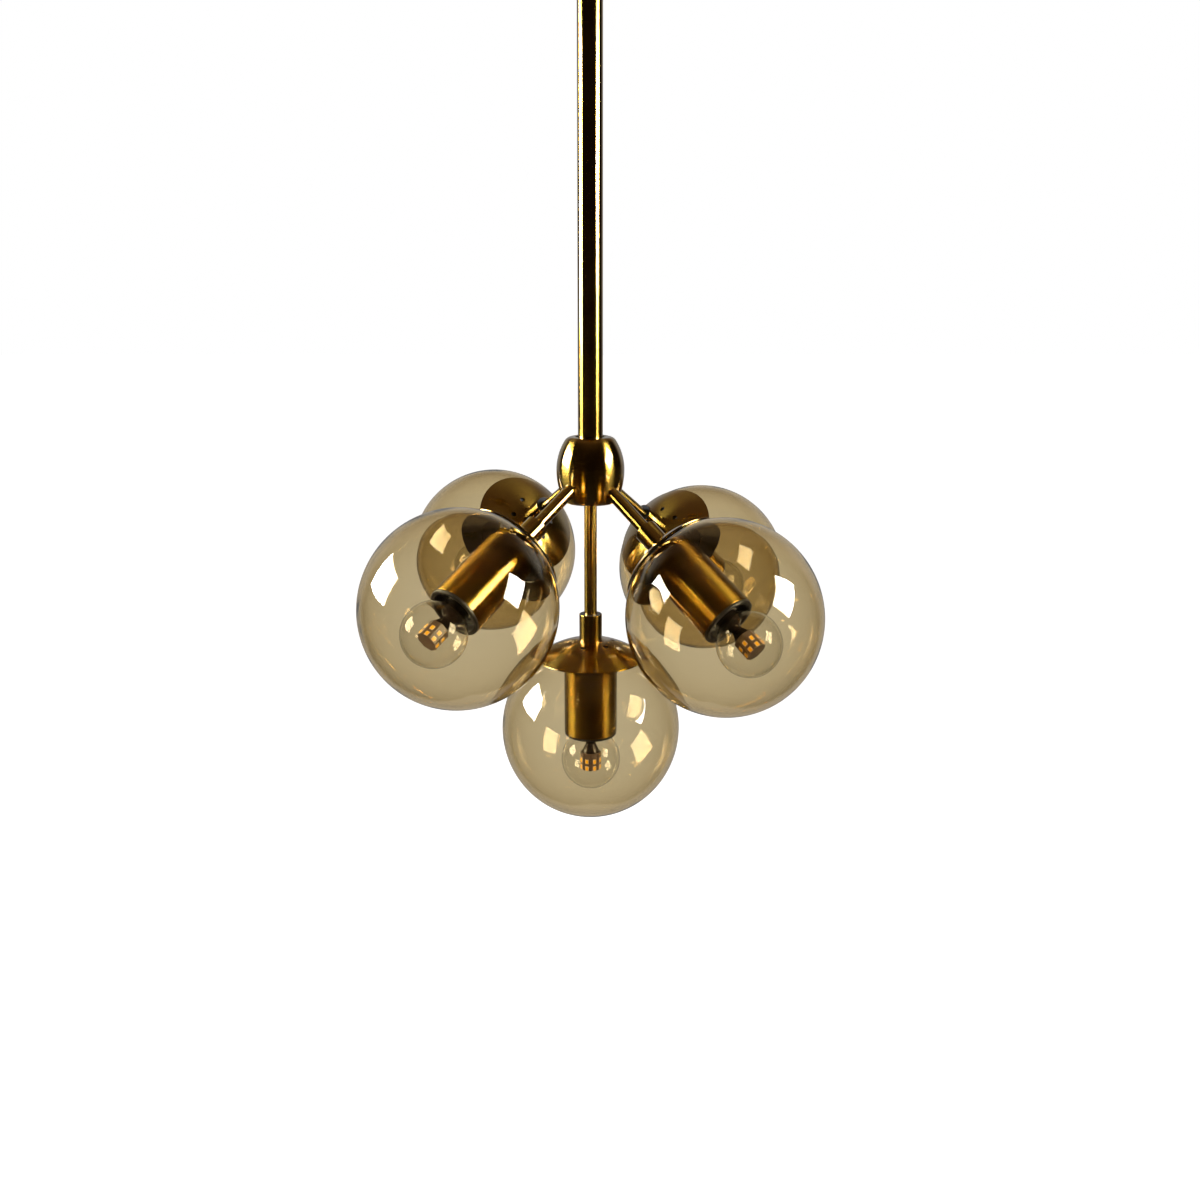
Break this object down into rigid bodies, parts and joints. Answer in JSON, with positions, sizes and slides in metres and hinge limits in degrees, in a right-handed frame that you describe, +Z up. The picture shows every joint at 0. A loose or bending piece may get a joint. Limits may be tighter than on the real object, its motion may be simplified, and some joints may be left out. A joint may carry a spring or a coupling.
{
  "type": "chandelier",
  "caption": "Rod-hung chandelier: domed caps hold amber glass globes on straight arms that splay from a barrel hub, with one globe hanging under it.",
  "frame": {"origin": "the middle of the ceiling bracket's screw slots, on the ceiling", "axes": "+Z up out of the ceiling side, +X right and +Y away from the picture's camera"},
  "size_m": [0.3487, 0.3794, 0.8048],
  "materials": {
    "antique_brass": "satin, dark antique brass",
    "amber_glass": "clear blown glass, pale amber",
    "clear_glass": "clear blown glass",
    "black_phenolic": "black moulded phenolic",
    "zinc_steel": "zinc plated",
    "spring_steel": "blued spring steel",
    "plain_brass": "bare rolled brass",
    "nickel_plate": "nickel plated",
    "circuit_board": "solder-masked circuit board with yellow LED chips",
    "white_nylon": "white moulded nylon"
  },
  "bodies": {
    "ceiling_fixing": {"ceiling_bracket": "zinc_steel", "bracket_studs": "zinc_steel", "canopy": "antique_brass", "canopy_nuts": "antique_brass", "terminal_block": "white_nylon"},
    "swivel_ring": {"swivel_seat": "white_nylon"},
    "hanging_frame": {"swivel_ball": "antique_brass", "upper_stem": "antique_brass", "stem_coupler": "antique_brass", "lower_stem": "antique_brass", "hub": "antique_brass", "collar_nuts": "antique_brass", "globe_clips": "spring_steel", "screw_shells": "plain_brass", "holder_contacts": "plain_brass", "rod_front_left": "antique_brass", "cap_front_left": "antique_brass", "socket_cover_front_left": "antique_brass", "lampholder_front_left": "black_phenolic", "rod_front_right": "antique_brass", "cap_front_right": "antique_brass", "socket_cover_front_right": "antique_brass", "lampholder_front_right": "black_phenolic", "rod_rear_right": "antique_brass", "cap_rear_right": "antique_brass", "socket_cover_rear_right": "antique_brass", "lampholder_rear_right": "black_phenolic", "rod_rear_left": "antique_brass", "cap_rear_left": "antique_brass", "socket_cover_rear_left": "antique_brass", "lampholder_rear_left": "black_phenolic", "rod_bottom": "antique_brass", "cap_bottom": "antique_brass", "socket_cover_bottom": "antique_brass", "lampholder_bottom": "black_phenolic"},
    "globe_front_left": {"globe_front_left": "amber_glass"},
    "bulb_front_left_tip": {"bulb_tip_front_left": "nickel_plate"},
    "bulb_front_left": {"bulb_base_front_left": "nickel_plate", "bulb_glass_front_left": "clear_glass", "led_module_front_left": "circuit_board"},
    "globe_front_right": {"globe_front_right": "amber_glass"},
    "bulb_front_right_tip": {"bulb_tip_front_right": "nickel_plate"},
    "bulb_front_right": {"bulb_base_front_right": "nickel_plate", "bulb_glass_front_right": "clear_glass", "led_module_front_right": "circuit_board"},
    "globe_rear_right": {"globe_rear_right": "amber_glass"},
    "bulb_rear_right_tip": {"bulb_tip_rear_right": "nickel_plate"},
    "bulb_rear_right": {"bulb_base_rear_right": "nickel_plate", "bulb_glass_rear_right": "clear_glass", "led_module_rear_right": "circuit_board"},
    "globe_rear_left": {"globe_rear_left": "amber_glass"},
    "bulb_rear_left_tip": {"bulb_tip_rear_left": "nickel_plate"},
    "bulb_rear_left": {"bulb_base_rear_left": "nickel_plate", "bulb_glass_rear_left": "clear_glass", "led_module_rear_left": "circuit_board"},
    "globe_bottom": {"globe_bottom": "amber_glass"},
    "bulb_bottom_tip": {"bulb_tip_bottom": "nickel_plate"},
    "bulb_bottom": {"bulb_base_bottom": "nickel_plate", "bulb_glass_bottom": "clear_glass", "led_module_bottom": "circuit_board"}
  },
  "joints": [
    {"name": "stem_turn", "type": "hinge", "parent": "ceiling_fixing", "child": "swivel_ring", "pos_m": [0, 0, -0.0183], "axis": [0, 0, 1], "range_deg": [-170, 170]},
    {"name": "stem_tilt", "type": "hinge", "parent": "swivel_ring", "child": "hanging_frame", "pos_m": [0, 0, -0.0183], "axis": [1, 0, 0], "range_deg": [-20, 20]},
    {"name": "globe_front_left_off", "type": "slide", "parent": "hanging_frame", "child": "globe_front_left", "axis": [-0.5601, -0.6605, -0.5], "range_m": [0, 0.125]},
    {"name": "bulb_front_left_out", "type": "slide", "parent": "hanging_frame", "child": "bulb_front_left_tip", "axis": [-0.5601, -0.6605, -0.5], "range_m": [0, 0.01454]},
    {"name": "bulb_front_left_turn", "type": "hinge", "parent": "bulb_front_left_tip", "child": "bulb_front_left", "pos_m": [-0.09707, -0.11446, -0.59545], "axis": [-0.5601, -0.6605, -0.5], "range_deg": [0, 1440]},
    {"name": "globe_front_right_off", "type": "slide", "parent": "hanging_frame", "child": "globe_front_right", "axis": [0.5872, -0.5852, -0.5592], "range_m": [0, 0.125]},
    {"name": "bulb_front_right_out", "type": "slide", "parent": "hanging_frame", "child": "bulb_front_right_tip", "axis": [0.5872, -0.5852, -0.5592], "range_m": [0, 0.01454]},
    {"name": "bulb_front_right_turn", "type": "hinge", "parent": "bulb_front_right_tip", "child": "bulb_front_right", "pos_m": [0.10177, -0.10141, -0.60571], "axis": [0.5872, -0.5852, -0.5592], "range_deg": [0, 1440]},
    {"name": "globe_rear_right_off", "type": "slide", "parent": "hanging_frame", "child": "globe_rear_right", "axis": [0.5797, 0.5463, -0.6046], "range_m": [0, 0.125]},
    {"name": "bulb_rear_right_out", "type": "slide", "parent": "hanging_frame", "child": "bulb_rear_right_tip", "axis": [0.5797, 0.5463, -0.6046], "range_m": [0, 0.01454]},
    {"name": "bulb_rear_right_turn", "type": "hinge", "parent": "bulb_rear_right_tip", "child": "bulb_rear_right", "pos_m": [0.10046, 0.09467, -0.61358], "axis": [0.5797, 0.5463, -0.6046], "range_deg": [0, 1440]},
    {"name": "globe_rear_left_off", "type": "slide", "parent": "hanging_frame", "child": "globe_rear_left", "axis": [-0.5198, 0.663, -0.5388], "range_m": [0, 0.125]},
    {"name": "bulb_rear_left_out", "type": "slide", "parent": "hanging_frame", "child": "bulb_rear_left_tip", "axis": [-0.5198, 0.663, -0.5388], "range_m": [0, 0.01454]},
    {"name": "bulb_rear_left_turn", "type": "hinge", "parent": "bulb_rear_left_tip", "child": "bulb_rear_left", "pos_m": [-0.09009, 0.11489, -0.60217], "axis": [-0.5198, 0.663, -0.5388], "range_deg": [0, 1440]},
    {"name": "globe_bottom_off", "type": "slide", "parent": "hanging_frame", "child": "globe_bottom", "axis": [0, 0, -1], "range_m": [0, 0.125]},
    {"name": "bulb_bottom_out", "type": "slide", "parent": "hanging_frame", "child": "bulb_bottom_tip", "axis": [0, 0, -1], "range_m": [0, 0.01454]},
    {"name": "bulb_bottom_turn", "type": "hinge", "parent": "bulb_bottom_tip", "child": "bulb_bottom", "pos_m": [0, 0, -0.7298], "axis": [0, 0, -1], "range_deg": [0, 1440]}
  ],
  "couplings": [
    {"joint": "bulb_front_left_out", "follows": "bulb_front_left_turn", "m_per_rad": 0.00057773},
    {"joint": "bulb_front_right_out", "follows": "bulb_front_right_turn", "m_per_rad": 0.00057773},
    {"joint": "bulb_rear_right_out", "follows": "bulb_rear_right_turn", "m_per_rad": 0.00057773},
    {"joint": "bulb_rear_left_out", "follows": "bulb_rear_left_turn", "m_per_rad": 0.00057773},
    {"joint": "bulb_bottom_out", "follows": "bulb_bottom_turn", "m_per_rad": 0.00057773}
  ]
}
